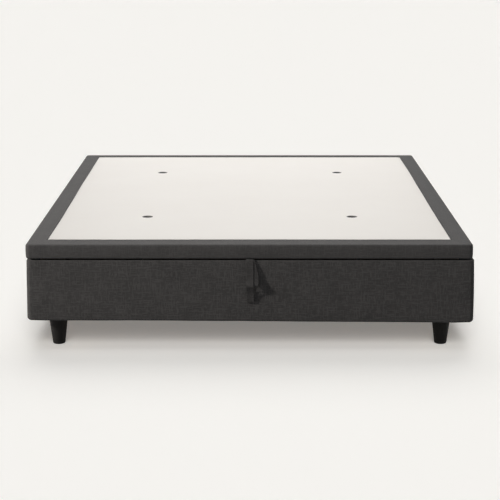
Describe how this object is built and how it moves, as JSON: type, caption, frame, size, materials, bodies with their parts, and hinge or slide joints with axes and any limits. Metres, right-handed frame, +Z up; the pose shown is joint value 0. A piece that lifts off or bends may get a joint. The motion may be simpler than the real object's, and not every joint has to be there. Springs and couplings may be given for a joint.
{
  "type": "storage bed base",
  "caption": "Upholstered storage bed base: a dark fabric box on tapered legs under a hinged, gas-sprung lid with a white cloth deck, round vents and a fabric pull loop.",
  "frame": {"origin": "on the floor under the middle of the bed", "axes": "+Y from the foot end to the head end, +Z up, +X to the right as seen from the foot end"},
  "size_m": [1.6, 2.0421, 0.393],
  "materials": {
    "dark_fabric": "matte",
    "white_cloth": "matte",
    "foam": "matte",
    "felt": "matte",
    "hardboard": "matte",
    "plywood": "matte",
    "chipboard": "matte",
    "pine": "matte",
    "leg_plastic": "satin",
    "vent_plastic": "satin",
    "zinc_steel": "satin",
    "black_steel": "satin",
    "rod_chrome": "polished"
  },
  "bodies": {
    "base": {"base_screws": "zinc_steel", "box_cover": "dark_fabric", "box_padding": "foam", "centre_divider": "chipboard", "corner_blocks": "pine", "corner_gussets": "pine", "divider_cleats": "pine", "floor_battens": "pine", "floor_board_left": "hardboard", "floor_board_right": "hardboard", "foot_panel": "chipboard", "head_panel": "chipboard", "hinge_base_leaf_left": "zinc_steel", "hinge_base_leaf_middle": "zinc_steel", "hinge_base_leaf_right": "zinc_steel", "hinge_pins": "zinc_steel", "leg_bolts": "zinc_steel", "leg_centre": "leg_plastic", "leg_foot_left": "leg_plastic", "leg_foot_right": "leg_plastic", "leg_head_left": "leg_plastic", "leg_head_right": "leg_plastic", "rim_felts": "felt", "side_panel_left": "chipboard", "side_panel_right": "chipboard", "spring_base_bracket_left": "zinc_steel", "spring_base_bracket_right": "zinc_steel", "spring_lower_clips": "zinc_steel"},
    "lid": {"hinge_lid_leaf_left": "zinc_steel", "hinge_lid_leaf_middle": "zinc_steel", "hinge_lid_leaf_right": "zinc_steel", "lid_board_foot_left": "plywood", "lid_board_foot_right": "plywood", "lid_board_head_left": "plywood", "lid_board_head_right": "plywood", "lid_border_cover": "dark_fabric", "lid_centre_rail": "pine", "lid_cross_rails": "pine", "lid_padding": "foam", "lid_rail_foot": "pine", "lid_rail_head": "pine", "lid_rail_left": "pine", "lid_rail_right": "pine", "lid_screws": "zinc_steel", "lid_top_cloth": "white_cloth", "spring_lid_bracket_left": "zinc_steel", "spring_lid_bracket_right": "zinc_steel", "spring_upper_clips": "zinc_steel", "strap_tab": "dark_fabric", "vent_foot_left": "vent_plastic", "vent_foot_right": "vent_plastic", "vent_head_left": "vent_plastic", "vent_head_right": "vent_plastic"},
    "strap": {"pull_strap": "dark_fabric"},
    "cylinder_left": {"gas_cylinder_left": "black_steel"},
    "rod_left": {"gas_rod_left": "rod_chrome"},
    "cylinder_right": {"gas_cylinder_right": "black_steel"},
    "rod_right": {"gas_rod_right": "rod_chrome"}
  },
  "joints": [
    {"name": "lid_hinge", "type": "hinge", "parent": "base", "child": "lid", "pos_m": [0, 1.0055, 0.3375], "axis": [-1, 0, 0], "range_deg": [0, 40]},
    {"name": "rod_pivot_left", "type": "hinge", "parent": "base", "child": "rod_left", "pos_m": [-0.76, 0.869, 0.17], "axis": [-1, 0, 0], "range_deg": [0, 20]},
    {"name": "cylinder_pivot_left", "type": "hinge", "parent": "lid", "child": "cylinder_left", "pos_m": [-0.76, 0.79063, 0.36025], "axis": [-1, 0, 0], "range_deg": [-20, 0]},
    {"name": "rod_pivot_right", "type": "hinge", "parent": "base", "child": "rod_right", "pos_m": [0.76, 0.869, 0.17], "axis": [-1, 0, 0], "range_deg": [0, 20]},
    {"name": "cylinder_pivot_right", "type": "hinge", "parent": "lid", "child": "cylinder_right", "pos_m": [0.76, 0.79063, 0.36025], "axis": [-1, 0, 0], "range_deg": [-20, 0]},
    {"name": "strap_swing", "type": "hinge", "parent": "lid", "child": "strap", "pos_m": [0, -1.0021, 0.339], "axis": [-1, 0, 0], "range_deg": [-40, 0]}
  ],
  "couplings": [
    {"joint": "rod_pivot_left", "follows": "lid_hinge", "ratio": 0.5},
    {"joint": "cylinder_pivot_left", "follows": "lid_hinge", "ratio": -0.5},
    {"joint": "rod_pivot_right", "follows": "lid_hinge", "ratio": 0.5},
    {"joint": "cylinder_pivot_right", "follows": "lid_hinge", "ratio": -0.5},
    {"joint": "strap_swing", "follows": "lid_hinge", "ratio": -1}
  ]
}
